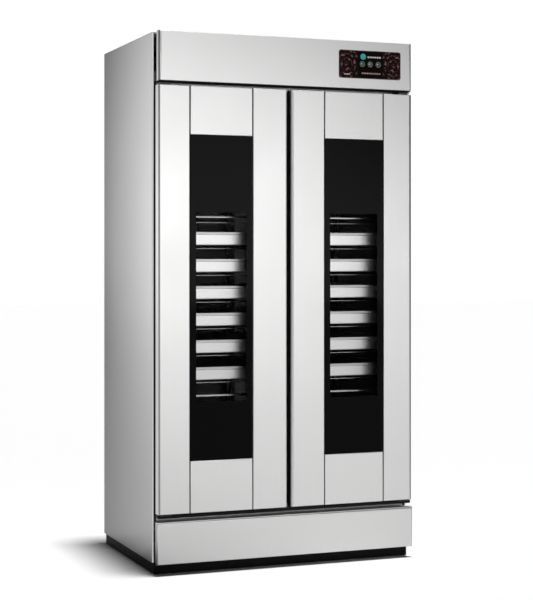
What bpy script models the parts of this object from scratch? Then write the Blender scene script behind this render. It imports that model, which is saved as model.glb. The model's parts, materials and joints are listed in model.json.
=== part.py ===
"""Two-door proofing cabinet: an insulated stainless cabinet on a black base, with a header that
carries the controls, two glazed doors on pivot hinges, tray racks, trays, a fan and its air heater.

Run with: blender --background --python part.py

Metres, +Z up. The origin is on the floor, at the middle of the cabinet. -Y is the front and +X is
to the right of someone who faces the doors.
"""

import math

import bmesh
import bpy
from mathutils import Matrix, Vector

# Driving dimensions of the whole cabinet.
WIDTH = 1.000
DEPTH = 0.700
HEIGHT = 1.920
HALF = WIDTH / 2
FRONT = -DEPTH / 2 + 0.004  # the doors' and header's face, behind the buttons' tips
BACK = DEPTH / 2

GAP = 0.0003  # left between pieces that touch
SHEET = 0.0012  # outer sheet metal
FOLD = 0.0015  # sheet of the doors, header and plinth
EDGE = 0.0040  # radius of a folded outer edge

# Heights from the floor.
BASE_TOP = 0.040
PLINTH_TOP = 0.1905
DOOR_BOTTOM = 0.2165
WINDOW_BOTTOM = 0.4000
WINDOW_TOP = 1.5567
DOOR_TOP = 1.7294
HEADER_BOTTOM = 1.7437

# Depths, from the doors' front face backwards.
DOOR_DEPTH = 0.042
SHELL_DEPTH = 0.038  # stiles and rails, in front of the door's inner pan
BODY_FRONT = FRONT + 0.060  # front edge of the side panels
FRAME_FRONT = BODY_FRONT + SHEET + GAP
FRAME_BACK = FRAME_FRONT + 0.024
DOOR_BACK = FRONT + DOOR_DEPTH

# Doors, seen on the left one; the right door mirrors it.
DOOR_OUTER = -HALF + 0.0065
DOOR_INNER = -0.0085
HINGE_STILE_WIDTH = 0.1150
PULL_STILE_WIDTH = 0.1310
SEAM = 0.0020
SPACER_WIDTH = 0.006
GLASS = 0.004
PIVOT_X = DOOR_OUTER + 0.015
PIVOT_Y = FRONT + 0.016
PIN_RADIUS = 0.005
PIN_HOLE_RADIUS = 0.0056
PIN_REACH = 0.022

# Insulated body.
TUB_BOTTOM = 0.203
TUB_TOP = 1.748
FRAME_BOTTOM = 0.165
FRAME_TOP = 1.780
WALL = 0.0289
REAR_WALL = 0.0175
REAR_RECESS = 0.008
FLOOR = 0.2385
CEILING = 1.7135
LINER = 0.0010
MULLION_HALF = 0.030
OPENING_OUTER = 0.458
OPENING_BOTTOM = 0.249
OPENING_TOP = 1.702

# Racks and trays. A level is the height of the ledges that a tray stands on.
TRAY_PITCH = 0.0971
TOP_TRAY_LEVEL = 1.1650
TRAYS = 6
FREE_LEVELS = (-3, -2, 7, 8, 9)  # counted down from the top tray
TRAY_WIDTH = 0.400
TRAY_LENGTH = 0.600
TRAY_HEIGHT = 0.047
TRAY_CENTRE_X = 0.244
TRAY_FRONT = FRONT + 0.0660
RACK_TOP = 1.600
POST_FRONT = FRONT + 0.105
POST_REAR = 0.275
TIE_LEVELS = (1.2655, 0.6185)

# Fan and air heater under the ceiling.
FAN_CENTRE = Vector((0.0, 0.030, 0.0))
IMPELLER_RADIUS = 0.075
IMPELLER_BOTTOM = 1.640
IMPELLER_TOP = 1.690
SHAFT_RADIUS = 0.006
HEATER_RADIUS = 0.105
HEATER_TUBE = 0.004
HEATER_LEVEL = 1.668
HEATER_TERMINAL_X = 0.020

# Controls on the header.
PANEL_LEFT = 0.200
PANEL_RIGHT = 0.445
PANEL_BOTTOM = 1.7840
PANEL_TOP = 1.8825
BUTTON_LEVEL = 1.835
BUTTON_RADIUS = 0.0105
BUTTONS = {"power_button": 0.2907, "heat_button": 0.3225, "steam_button": 0.3556}

GLAND_X = 0.380
GLAND_LEVEL = 1.815

FINISHES = {  # base colour, roughness, metallic
    "steel": ((0.62, 0.62, 0.61), 0.32, 1.0),
    "dark_steel": ((0.30, 0.30, 0.30), 0.40, 1.0),
    "black_paint": ((0.02, 0.02, 0.02), 0.50, 0.0),
    "rubber": ((0.03, 0.03, 0.03), 0.80, 0.0),
    "glass": ((0.05, 0.05, 0.05), 0.05, 0.0),
    "aluminium": ((0.85, 0.85, 0.85), 0.25, 1.0),
    "foam": ((0.80, 0.74, 0.55), 0.90, 0.0),
    "panel_print": ((0.05, 0.02, 0.02), 0.20, 0.0),
    "plastic": ((0.25, 0.25, 0.26), 0.50, 0.0),
    "lamp": ((0.90, 0.90, 0.88), 0.30, 0.0),
}


def clear_scene():
    for obj in list(bpy.data.objects):
        bpy.data.objects.remove(obj)


def finish(name, kind):
    colour, roughness, metallic = FINISHES[kind]
    material = bpy.data.materials.new(name)
    material.use_nodes = True
    shader = material.node_tree.nodes["Principled BSDF"]
    shader.inputs["Base Color"].default_value = (*colour, 1.0)
    shader.inputs["Roughness"].default_value = roughness
    shader.inputs["Metallic"].default_value = metallic
    return material


def link(name, mesh, kind):
    obj = bpy.data.objects.new(name, mesh)
    bpy.context.scene.collection.objects.link(obj)
    obj.data.materials.append(finish(name, kind))
    return obj


def from_bmesh(name, bm, kind):
    bmesh.ops.recalc_face_normals(bm, faces=bm.faces[:])
    mesh = bpy.data.meshes.new(name)
    bm.to_mesh(mesh)
    bm.free()
    return link(name, mesh, kind)


def add_box(bm, low, high):
    low, high = Vector(low), Vector(high)
    place = Matrix.Translation((low + high) / 2) @ Matrix.Diagonal((*(high - low), 1.0))
    return bmesh.ops.create_cube(bm, size=1.0, matrix=place)["verts"]


def add_rod(bm, centre, radius, low, high, axis="Z", segments=24):
    """A cylinder along an axis, from low to high on it; centre gives its other two coordinates."""
    turn = {"X": Matrix.Rotation(math.pi / 2, 4, "Y"), "Y": Matrix.Rotation(-math.pi / 2, 4, "X"),
            "Z": Matrix.Identity(4)}[axis]
    middle = Vector(centre)
    middle["XYZ".index(axis)] = (low + high) / 2
    bmesh.ops.create_cone(bm, cap_ends=True, segments=segments, radius1=radius, radius2=radius,
                          depth=high - low, matrix=Matrix.Translation(middle) @ turn)


def box(name, low, high, kind, radius=0.0, rounded=None, segments=2):
    """A block; rounded(a, b) picks the edges to round by their two end points."""
    bm = bmesh.new()
    add_box(bm, low, high)
    if radius:
        edges = [e for e in bm.edges if rounded(e.verts[0].co, e.verts[1].co)]
        bmesh.ops.bevel(bm, geom=edges, offset=radius, segments=segments, profile=0.5,
                        affect="EDGES")
    return from_bmesh(name, bm, kind)


def prism(name, outline, low, high, kind, axis="Z"):
    """A solid with a flat outline, extruded along an axis."""
    bm = bmesh.new()
    if axis == "Z":
        points = [(x, y, low) for x, y in outline]
        along = Vector((0, 0, high - low))
    else:
        points = [(x, low, z) for x, z in outline]
        along = Vector((0, high - low, 0))
    face = bm.faces.new([bm.verts.new(p) for p in points])
    made = bmesh.ops.extrude_face_region(bm, geom=[face])["geom"]
    bmesh.ops.translate(bm, vec=along, verts=[g for g in made if isinstance(g, bmesh.types.BMVert)])
    return from_bmesh(name, bm, kind)


def combine(obj, tool, operation):
    """Cuts the tool from the object, or joins it to it, and removes the tool."""
    modifier = obj.modifiers.new(operation.lower(), "BOOLEAN")
    modifier.operation = operation
    modifier.solver = "EXACT"
    modifier.object = tool
    graph = bpy.context.evaluated_depsgraph_get()
    mesh = bpy.data.meshes.new_from_object(obj.evaluated_get(graph))
    mesh.name = obj.name
    obj.modifiers.clear()
    obj.data = mesh
    bpy.data.objects.remove(tool)
    return obj


def cut_boxes(obj, *boxes):
    for low, high in boxes:
        combine(obj, box("cutter", low, high, "rubber"), "DIFFERENCE")
    return obj


def cut_rods(obj, *rods, axis="Z"):
    """Each rod is (centre, radius, low, high)."""
    bm = bmesh.new()
    for centre, radius, low, high in rods:
        add_rod(bm, centre, radius, low, high, axis)
    return combine(obj, from_bmesh("cutter", bm, "rubber"), "DIFFERENCE")


def turn_about(obj, origin, parent=None):
    """Puts the object's origin at a point, and parents it to an empty that stands there."""
    origin = Vector(origin)
    obj.data.transform(Matrix.Translation(-origin))
    if parent is None:
        obj.location = origin
    else:
        obj.parent = parent
        obj.location = origin - parent.location
    return obj


def empty(name, place):
    obj = bpy.data.objects.new(name, None)
    bpy.context.scene.collection.objects.link(obj)
    obj.location = place
    return obj


def on_plane(index, value):
    """Picks the edges that lie on the plane where coordinate index has this value."""
    return lambda a, b: abs(a[index] - value) < 1e-6 and abs(b[index] - value) < 1e-6


def along_y(a, b):
    return abs(a.x - b.x) < 1e-6 and abs(a.z - b.z) < 1e-6


def either(*tests):
    return lambda a, b: any(test(a, b) for test in tests)


def both(first, second):
    return lambda a, b: first(a, b) and second(a, b)


def across(side, low, high):
    """A left-hand span along X as it is for side -1, or mirrored for side +1."""
    return (low, high) if side < 0 else (-high, -low)


# Base, outer panels, insulation and liner.


def base_frame():
    rail = 0.040
    left, right = -HALF + 0.003, HALF - 0.003
    front, rear = FRONT + 0.048, BACK - 0.015
    frame = box("base_frame", (left, front, 0.0), (right, rear, BASE_TOP - GAP), "black_paint")
    middle = rail * 0.75
    return cut_boxes(frame,
                     ((left + rail, front + rail, -0.01), (right - rail, -middle, BASE_TOP + 0.01)),
                     ((left + rail, middle, -0.01), (right - rail, rear - rail, BASE_TOP + 0.01)))


def side_panel(name, side):
    """A sheet with a lip folded inwards along its front and its rear edge."""
    front_lip = 0.0075
    rear_lip = 0.012
    outline = [(HALF, BODY_FRONT), (HALF, BACK), (HALF - rear_lip, BACK), (HALF - rear_lip, BACK - SHEET),
               (HALF - SHEET, BACK - SHEET), (HALF - SHEET, BODY_FRONT + SHEET),
               (HALF - front_lip, BODY_FRONT + SHEET), (HALF - front_lip, BODY_FRONT)]
    outline = [(side * x, y) for x, y in outline]
    return prism(name, outline, BASE_TOP, HEIGHT - SHEET - GAP, "steel")


def rear_panel():
    """A shallow pan whose folded edges stand on the side panels' rear lips, with vents to the
    control space and a hole for the cable gland."""
    rear = BACK - SHEET - GAP
    half = HALF - SHEET - GAP
    bottom, top = BASE_TOP, HEIGHT - SHEET - GAP
    panel = box("rear_panel", (-half, rear - REAR_RECESS, bottom), (half, rear, top), "steel")
    cut_boxes(panel, ((-half + SHEET, rear - REAR_RECESS + SHEET, bottom + SHEET),
                      (half - SHEET, rear + 0.01, top - SHEET)))
    vents = []
    for column in (-1, 1):
        for row in range(6):
            level = 1.790 + row * 0.018
            x = column * 0.16 - 0.05
            vents.append(((x - 0.055, rear - 0.02, level), (x + 0.055, rear + 0.01, level + 0.006)))
    cut_boxes(panel, *vents)
    return cut_rods(panel, ((GLAND_X, 0, GLAND_LEVEL), 0.0105, rear - 0.02, rear + 0.02), axis="Y")


def top_panel():
    """A lid whose four sides are folded down inside the other panels."""
    lip = 0.020
    inset = SHEET + GAP
    low = (-HALF, BODY_FRONT, HEIGHT - SHEET)
    lid = box("top_panel", low, (HALF, BACK, HEIGHT), "steel")
    rim_low = Vector((-HALF + inset, BODY_FRONT + inset, HEIGHT - SHEET - lip))
    rim_high = Vector((HALF - inset, BACK - inset - REAR_RECESS - GAP, HEIGHT - SHEET / 2))
    rim = box("rim", rim_low, rim_high, "steel")
    wall = Vector((SHEET, SHEET, 0))
    hollow_high = rim_high - wall
    hollow_high.z = HEIGHT - SHEET
    cut_boxes(rim, (rim_low + wall - Vector((0, 0, 0.01)), hollow_high))
    return combine(lid, rim, "UNION")


def insulation_tub():
    """Foam walls, floor, ceiling and back round the warm space, open at the front."""
    half = HALF - SHEET - GAP
    rear = BACK - SHEET - GAP - REAR_RECESS - GAP
    tub = box("insulation_tub", (-half, FRAME_BACK + GAP, TUB_BOTTOM), (half, rear, TUB_TOP), "foam")
    cut_boxes(tub, ((-half + WALL, FRAME_BACK - 0.01, FLOOR), (half - WALL, rear - REAR_WALL, CEILING)))
    return pierce_ceiling(tub)


def inner_liner():
    half = HALF - SHEET - GAP - WALL - GAP
    rear = BACK - SHEET - GAP - REAR_RECESS - GAP - REAR_WALL - GAP
    low = Vector((-half, FRAME_BACK + GAP, FLOOR + GAP))
    high = Vector((half, rear, CEILING - GAP))
    liner = box("inner_liner", low, high, "dark_steel")
    wall = Vector((LINER, LINER, LINER))
    hollow_low = low + wall
    hollow_low.y = low.y - 0.01
    cut_boxes(liner, (hollow_low, high - wall))
    return pierce_ceiling(liner)


def pierce_ceiling(obj):
    """Holes for the fan's shaft and for the air heater's two terminals."""
    low, high = CEILING - 0.01, TUB_TOP + 0.01
    rear = FAN_CENTRE.y + HEATER_RADIUS
    return cut_rods(obj, (FAN_CENTRE, 0.010, low, high),
                    ((-HEATER_TERMINAL_X, rear, 0), 0.006, low, high),
                    ((HEATER_TERMINAL_X, rear, 0), 0.006, low, high))


def front_frame():
    """The ring that the gaskets seal on, with the mullion between its two openings."""
    half = HALF - SHEET - GAP
    frame = box("front_frame", (-half, FRAME_FRONT, FRAME_BOTTOM), (half, FRAME_BACK, FRAME_TOP), "steel")
    for side in (-1, 1):
        left, right = across(side, -OPENING_OUTER, -MULLION_HALF)
        cut_boxes(frame, ((left, FRAME_FRONT - 0.01, OPENING_BOTTOM),
                          (right, FRAME_BACK + 0.01, OPENING_TOP)))
    return frame


def stepped_shell(name, half, front, bottom, top, depth):
    """A folded front box with a narrower neck behind it, open at the back."""
    neck = 0.008
    shell = box(name, (-half, front, bottom), (half, front + depth, top), "steel", EDGE,
                on_plane(1, front))
    back = BODY_FRONT - GAP
    low = Vector((-half + neck, front + depth - 0.002, bottom + neck))
    high = Vector((half - neck, back, top - neck))
    combine(shell, box("neck", low, high, "steel"), "UNION")
    wall = neck + FOLD
    return cut_boxes(shell, ((-half + wall, front + FOLD, bottom + wall),
                             (half - wall, back + 0.01, top - wall)))


def header_panel():
    header = stepped_shell("header_panel", -DOOR_OUTER, FRONT, HEADER_BOTTOM, HEIGHT, DOOR_DEPTH)
    margin = 0.012
    return cut_boxes(header, ((PANEL_LEFT + margin, FRONT - 0.01, PANEL_BOTTOM + margin),
                              (PANEL_RIGHT - margin, FRONT + 0.01, PANEL_TOP - margin)))


def plinth_panel():
    return stepped_shell("plinth_panel", HALF, FRONT + 0.003, BASE_TOP, PLINTH_TOP, 0.022)


# Doors.


def folded_pan(name, low, high, outline):
    """A stile or rail: a front face with four folded sides, open towards the door's inner pan.
    The front edges on the outline's planes, which are the door's own edges, are rounded."""
    low, high = Vector(low), Vector(high)
    outer = either(*(both(on_plane(1, low.y), on_plane(index, value)) for index, value in outline))
    pan = box(name, low, high, "steel", EDGE, outer, segments=3)
    wall = Vector((FOLD, FOLD, FOLD))
    hollow_high = high - wall
    hollow_high.y = high.y + 0.01
    return cut_boxes(pan, (low + wall, hollow_high))


def door(prefix, side):
    """All the pieces of one door, on an empty that stands on the door's hinge axis."""
    axis = empty(f"{prefix}_door_axis", (side * -PIVOT_X, PIVOT_Y, DOOR_BOTTOM))
    shell_back = FRONT + SHELL_DEPTH
    window_outer = DOOR_OUTER + HINGE_STILE_WIDTH
    window_inner = DOOR_INNER - PULL_STILE_WIDTH
    edge_outer = side * -DOOR_OUTER
    edge_inner = side * -DOOR_INNER
    pieces = []

    left, right = across(side, DOOR_OUTER, window_outer)
    stile = folded_pan(f"{prefix}_hinge_stile", (left, FRONT, DOOR_BOTTOM), (right, shell_back, DOOR_TOP),
                       [(0, edge_outer), (2, DOOR_BOTTOM), (2, DOOR_TOP)])
    cut_rods(stile, ((side * -PIVOT_X, PIVOT_Y, 0), PIN_HOLE_RADIUS, DOOR_TOP - 0.01, DOOR_TOP + 0.01),
             ((side * -PIVOT_X, PIVOT_Y, 0), PIN_HOLE_RADIUS, DOOR_BOTTOM - 0.01, DOOR_BOTTOM + 0.01))
    pieces.append(stile)
    pieces.append(pull_stile(f"{prefix}_pull_stile", side, window_inner, edge_inner, shell_back))

    left, right = across(side, window_outer + SEAM, window_inner - SEAM)
    for word, bottom, top, edge in (("top", WINDOW_TOP, DOOR_TOP, DOOR_TOP),
                                    ("bottom", DOOR_BOTTOM, WINDOW_BOTTOM, DOOR_BOTTOM)):
        pieces.append(folded_pan(f"{prefix}_{word}_rail", (left, FRONT, bottom), (right, shell_back, top),
                                 [(2, edge)]))

    pieces += glazing(prefix, left, right)
    pieces.append(inner_pan(prefix, side, left, right))
    pieces.append(gasket(prefix, side))
    for piece in pieces:
        turn_about(piece, axis.location, axis)


def pull_stile(name, side, window_inner, edge_inner, shell_back):
    """The free stile: a folded pan with a thick edge, and a finger groove along that edge."""
    nose = 0.007
    grip = 0.024
    groove = 0.014
    left, right = across(side, window_inner, DOOR_INNER)
    stile = box(name, (left, FRONT, DOOR_BOTTOM), (right, shell_back, DOOR_TOP), "steel", nose,
                both(on_plane(1, FRONT), on_plane(0, edge_inner)), segments=4)
    hollow = across(side, window_inner + FOLD, DOOR_INNER - grip)
    slot = across(side, DOOR_INNER - groove, DOOR_INNER + 0.01)
    return cut_boxes(stile,
                     ((hollow[0], FRONT + FOLD, DOOR_BOTTOM + FOLD),
                      (hollow[1], shell_back + 0.01, DOOR_TOP - FOLD)),
                     ((slot[0], FRONT + 0.012, DOOR_BOTTOM - 0.01),
                      (slot[1], FRONT + 0.028, DOOR_TOP + 0.01)))


def ring(name, low, high, width, kind):
    """A flat rectangular ring that lies across Y."""
    low, high = Vector(low), Vector(high)
    inset = Vector((width, 0, width))
    past = Vector((0, 0.01, 0))
    return cut_boxes(box(name, low, high, kind), (low + inset - past, high - inset + past))


def glazing(prefix, left, right):
    """Outer pane, black spacer and inner pane. The inner pane fills the hole in the inner pan."""
    outer_back = FRONT + 0.0015 + GLASS
    outer = box(f"{prefix}_outer_glass", (left, FRONT + 0.0015, WINDOW_BOTTOM + SEAM / 2),
                (right, outer_back, WINDOW_TOP - SEAM / 2), "glass")
    spacer = ring(f"{prefix}_glazing_spacer", (left, outer_back + GAP, WINDOW_BOTTOM + SEAM / 2),
                  (right, DOOR_BACK - GLASS - GAP, WINDOW_TOP - SEAM / 2), SPACER_WIDTH, "black_paint")
    inset = SPACER_WIDTH + GAP
    inner = box(f"{prefix}_inner_glass", (left + inset, DOOR_BACK - GLASS, WINDOW_BOTTOM + inset),
                (right - inset, DOOR_BACK, WINDOW_TOP - inset), "glass")
    return [outer, spacer, inner]


def inner_pan(prefix, side, left, right):
    """The sheet that closes the door's back, with a hole for the inner pane."""
    edge = 0.002
    pan_left, pan_right = across(side, DOOR_OUTER + edge, DOOR_INNER - edge)
    low = (pan_left, FRONT + SHELL_DEPTH + GAP, DOOR_BOTTOM + edge)
    pan = box(f"{prefix}_inner_pan", low, (pan_right, DOOR_BACK, DOOR_TOP - edge), "dark_steel")
    return cut_boxes(pan, ((left + SPACER_WIDTH, low[1] - 0.01, WINDOW_BOTTOM + SPACER_WIDTH),
                           (right - SPACER_WIDTH, DOOR_BACK + 0.01, WINDOW_TOP - SPACER_WIDTH)))


def gasket(prefix, side):
    left, right = across(side, PIVOT_X + 0.001, DOOR_INNER - 0.002)
    return ring(f"{prefix}_gasket", (left, DOOR_BACK + GAP, DOOR_BOTTOM + 0.007),
                (right, FRAME_FRONT - GAP, DOOR_TOP - 0.007), 0.016, "rubber")


def hinge(name, side, level, direction):
    """A bracket on the front frame, with a pin that points into the door. direction is -1 for the
    upper hinge, whose pin points down, and +1 for the lower one."""
    plate = 0.004
    inner = PIVOT_X + 0.034
    left, right = across(side, PIVOT_X - 0.008, inner)
    near, far = sorted((level, level - direction * plate))
    bracket = box(name, (left, PIVOT_Y - 0.010, near), (right, FRAME_FRONT - GAP, far), "dark_steel")
    leg_left, leg_right = across(side, PIVOT_X + 0.004, inner)
    leg_near, leg_far = sorted((level, level - direction * 0.009))
    leg = box("leg", (leg_left, FRAME_FRONT - GAP - plate, leg_near),
              (leg_right, FRAME_FRONT - GAP, leg_far), "dark_steel")
    combine(bracket, leg, "UNION")
    bm = bmesh.new()
    tip = level + direction * PIN_REACH
    low, high = sorted((level - direction * plate / 2, tip))
    add_rod(bm, (side * -PIVOT_X, PIVOT_Y, 0), PIN_RADIUS, low, high)
    return combine(bracket, from_bmesh("pin", bm, "dark_steel"), "UNION")


# Racks and trays.


def rack(name, side, inner, ledge):
    """A ladder of two posts and one ledge for each level. side is the bay, -1 left or +1 right.
    The outer ladder, on the cabinet's wall, also carries the front ties that cross the bay."""
    post = 0.015
    bm = bmesh.new()
    wall_x = 0.0025 if inner else HALF - SHEET - WALL - LINER - 3 * GAP - GAP
    near = wall_x if inner else wall_x - post
    for front in (POST_FRONT, POST_REAR):
        left, right = sorted((side * near, side * (near + post)))
        add_box(bm, (left, front, FLOOR + LINER + 2 * GAP), (right, front + 0.020, RACK_TOP))
    posts = from_bmesh(name, bm, "steel")

    bm = bmesh.new()
    toe = near + post if inner else near
    reach = 1 if inner else -1
    for index in [*range(TRAYS), *FREE_LEVELS]:
        top = TOP_TRAY_LEVEL - GAP - index * TRAY_PITCH
        foot = toe - reach * 0.001
        outline = [(foot, top - FOLD), (foot + reach * ledge, top - FOLD), (foot + reach * ledge, top),
                   (foot + reach * FOLD, top), (foot + reach * FOLD, top + 0.015), (foot, top + 0.015)]
        add_prism(bm, [(side * x, z) for x, z in outline], POST_FRONT - 0.003, POST_REAR + 0.025)
    combine(posts, from_bmesh("rails", bm, "steel"), "UNION")
    if not inner:
        bm = bmesh.new()
        for level in TIE_LEVELS:
            left, right = sorted((side * (near + 0.006), side * 0.0190))
            add_box(bm, (left, POST_FRONT - 0.003, level), (right, POST_FRONT + 0.001, level + 0.0055))
        combine(posts, from_bmesh("ties", bm, "steel"), "UNION")
    return posts


def add_prism(bm, outline, low, high):
    """Adds an outline across Y, extruded from low to high along Y."""
    face = bm.faces.new([bm.verts.new((x, low, z)) for x, z in outline])
    made = bmesh.ops.extrude_face_region(bm, geom=[face])["geom"]
    verts = [g for g in made if isinstance(g, bmesh.types.BMVert)]
    bmesh.ops.translate(bm, vec=(0, high - low, 0), verts=verts)


def tray(name, centre_x, level):
    """A baking tray: sides that lean out a little, under a narrow flat rim."""
    rim = 0.006
    lean = 0.003
    skin = 0.0012
    half_x, half_y = TRAY_WIDTH / 2, TRAY_LENGTH / 2
    centre_y = TRAY_FRONT + half_y

    def loop(bm, inset, z):
        x, y = half_x - inset, half_y - inset
        return [bm.verts.new((centre_x + sx * x, centre_y + sy * y, z))
                for sx, sy in ((-1, -1), (1, -1), (1, 1), (-1, 1))]

    top = level + TRAY_HEIGHT
    bm = bmesh.new()
    steps = [(rim + lean, level), (rim, top - skin), (0.0, top - skin), (0.0, top),
             (rim + skin, top), (rim + lean + skin, level + skin)]
    loops = [loop(bm, inset, z) for inset, z in steps]
    for below, above in zip(loops, loops[1:]):
        for i in range(4):
            j = (i + 1) % 4
            bm.faces.new((below[i], below[j], above[j], above[i]))
    bm.faces.new(loops[0])
    bm.faces.new(loops[-1])
    return from_bmesh(name, bm, "aluminium")


# Fan, heater, water pan, lamp and controls.


def turned(profile, segments=32):
    """A solid of revolution round Z from (radius, height) points that start and end on the axis."""
    bm = bmesh.new()
    verts = [bm.verts.new((r, 0, z)) for r, z in profile]
    edges = [bm.edges.new(pair) for pair in zip(verts, verts[1:])]
    bmesh.ops.spin(bm, geom=verts + edges, axis=(0, 0, 1), cent=(0, 0, 0), angle=math.tau,
                   steps=segments, use_merge=True)
    bmesh.ops.remove_doubles(bm, verts=bm.verts[:], dist=1e-6)
    return bm


def fan_impeller():
    """Shaft, hub and back plate turned in one piece, with curved-back blades under the plate."""
    plate = 0.002
    hub = 0.018
    shaft_top = 1.800
    profile = [(0, IMPELLER_BOTTOM + 0.010), (hub, IMPELLER_BOTTOM + 0.010), (hub, IMPELLER_TOP - plate),
               (IMPELLER_RADIUS, IMPELLER_TOP - plate), (IMPELLER_RADIUS, IMPELLER_TOP),
               (SHAFT_RADIUS, IMPELLER_TOP), (SHAFT_RADIUS, shaft_top), (0, shaft_top)]
    wheel = from_bmesh("fan_impeller", turned(profile), "aluminium")
    blades = 12
    bm = bmesh.new()
    for i in range(blades):
        verts = add_box(bm, (0.036, -0.001, IMPELLER_BOTTOM), (0.072, 0.001, IMPELLER_TOP - plate / 2))
        lean = Matrix.Translation((0.054, 0, 0)) @ Matrix.Rotation(math.radians(32), 4, "Z") \
            @ Matrix.Translation((-0.054, 0, 0))
        spin = Matrix.Rotation(math.tau * i / blades, 4, "Z")
        bmesh.ops.transform(bm, matrix=spin @ lean, verts=verts)
    combine(wheel, from_bmesh("blades", bm, "aluminium"), "UNION")
    wheel.location = FAN_CENTRE
    return wheel


def fan_motor():
    """A round motor with a mounting flange, bored for the impeller's shaft."""
    radius, flange, bore = 0.042, 0.056, 0.0068
    low, high = TUB_TOP + GAP, 1.835
    profile = [(bore, low), (flange, low), (flange, low + 0.004), (radius, low + 0.004),
               (radius, high - 0.006), (radius - 0.006, high), (0, high), (0, 1.803), (bore, 1.803),
               (bore, low)]
    bm = turned(profile)
    motor = from_bmesh("fan_motor", bm, "plastic")
    motor.location = FAN_CENTRE
    return motor


def fan_cover():
    """A pan round the impeller and heater, with a round inlet below and outlets at both ends."""
    half, front, rear = 0.210, -0.100, 0.160
    low, high = 1.615, CEILING - LINER - 2 * GAP
    cover = box("fan_cover", (-half, front, low), (half, rear, high), "steel", 0.004, on_plane(2, low))
    cut_boxes(cover, ((-half + FOLD, front + FOLD, low + FOLD), (half - FOLD, rear - FOLD, high + 0.01)))
    cut_rods(cover, (FAN_CENTRE, 0.060, low - 0.01, low + 0.01))
    slots = []
    for i in range(5):
        y = front + 0.030 + i * 0.045
        slots.append(((-half - 0.01, y, low + 0.020), (half + 0.01, y + 0.026, low + 0.075)))
    return cut_boxes(cover, *slots)


def air_heater():
    """A sheathed element: most of a circle round the impeller, whose ends rise to the terminals."""
    centre = FAN_CENTRE
    start = math.asin(HEATER_TERMINAL_X / HEATER_RADIUS)
    bend = 0.018
    turns = 40
    points = []
    for i in range(turns + 1):
        angle = math.pi / 2 + start + (math.tau - 2 * start) * i / turns
        points.append(Vector((HEATER_RADIUS * math.cos(angle), centre.y + HEATER_RADIUS * math.sin(angle),
                              HEATER_LEVEL)))
    first, last = points[0], points[-1]
    top = 1.765
    rise = [Vector((first.x, first.y, top)), Vector((first.x, first.y, HEATER_LEVEL + bend))]
    fall = [Vector((last.x, last.y, HEATER_LEVEL + bend)), Vector((last.x, last.y, top))]
    points = rise + points + fall
    curve = bpy.data.curves.new("air_heater", "CURVE")
    curve.dimensions = "3D"
    curve.bevel_depth = HEATER_TUBE
    curve.bevel_resolution = 2
    curve.use_fill_caps = True
    spline = curve.splines.new("POLY")
    spline.points.add(len(points) - 1)
    for point, place in zip(spline.points, points):
        point.co = (*place, 1.0)
    return link("air_heater", curve, "dark_steel")


def water_pan():
    low = Vector((-0.200, -0.120, FLOOR + LINER + 2 * GAP))
    high = Vector((0.200, 0.200, 0.2850))
    pan = box("water_pan", low, high, "steel", 0.004, on_plane(2, low.z))
    wall = Vector((FOLD, FOLD, 0))
    return cut_boxes(pan, (low + wall + Vector((0, 0, FOLD)), high - wall + Vector((0, 0, 0.01))))


def interior_lamp():
    """A vertical batten behind the mullion that lights both bays."""
    return box("interior_lamp", (-0.012, FRAME_BACK + GAP, 0.450), (0.012, FRAME_BACK + 0.014, 1.500),
               "lamp", 0.003, on_plane(1, FRAME_BACK + 0.014))


def control_box():
    low = (0.240, -0.240, TUB_TOP + GAP)
    high = (0.440, -0.100, 1.830)
    return box("control_box", low, high, "plastic", 0.003, on_plane(2, 1.830))


def control_panel():
    """The printed face plate over the header's cut-out, with a round hole for each button."""
    back = FRONT - GAP
    front = back - 0.0022
    low, high = (PANEL_LEFT, front, PANEL_BOTTOM), (PANEL_RIGHT, back, PANEL_TOP)
    plate = box("control_panel", low, high, "panel_print", 0.004, along_y, segments=3)
    holes = [((x, 0, BUTTON_LEVEL), BUTTON_RADIUS + 0.0007, front - 0.01, back + 0.01)
             for x in BUTTONS.values()]
    return cut_rods(plate, *holes, axis="Y")


def button(name, x):
    """A round cap on a plunger, held behind the face plate by its flange."""
    flange = BUTTON_RADIUS + 0.0025
    cap_front = -0.0040
    profile = [(0, 0.014), (0.005, 0.014), (0.005, 0.003), (flange, 0.003), (flange, 0.0003),
               (BUTTON_RADIUS, 0.0003), (BUTTON_RADIUS, cap_front + 0.001),
               (BUTTON_RADIUS - 0.001, cap_front), (0, cap_front)]
    bm = turned([(r, z) for r, z in profile], 28)
    bmesh.ops.rotate(bm, verts=bm.verts[:], cent=(0, 0, 0), matrix=Matrix.Rotation(-math.pi / 2, 3, "X"))
    cap = from_bmesh(name, bm, "plastic")
    cap.location = (x, FRONT, BUTTON_LEVEL)
    return cap


def cable_gland():
    """The mains entry on the back: a nut and a domed cap outside, a threaded stub inside."""
    rear = BACK - SHEET - GAP - REAR_RECESS + SHEET + GAP
    bore = 0.0045
    profile = [(bore, -0.014), (0.0098, -0.014), (0.0098, 0.0), (0.0150, 0.0), (0.0150, 0.0035),
               (0.0120, 0.0040), (0.0120, 0.0060), (0.0090, 0.0075), (bore, 0.0075), (bore, -0.014)]
    bm = turned(profile, 24)
    bmesh.ops.rotate(bm, verts=bm.verts[:], cent=(0, 0, 0), matrix=Matrix.Rotation(-math.pi / 2, 3, "X"))
    gland = from_bmesh("cable_gland", bm, "plastic")
    gland.location = (GLAND_X, rear, GLAND_LEVEL)
    return gland


def shade_smooth():
    for obj in bpy.context.scene.objects:
        if obj.type == "MESH":
            obj.data.shade_smooth()
            obj.data.set_sharp_from_angle(angle=math.radians(35))


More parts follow.
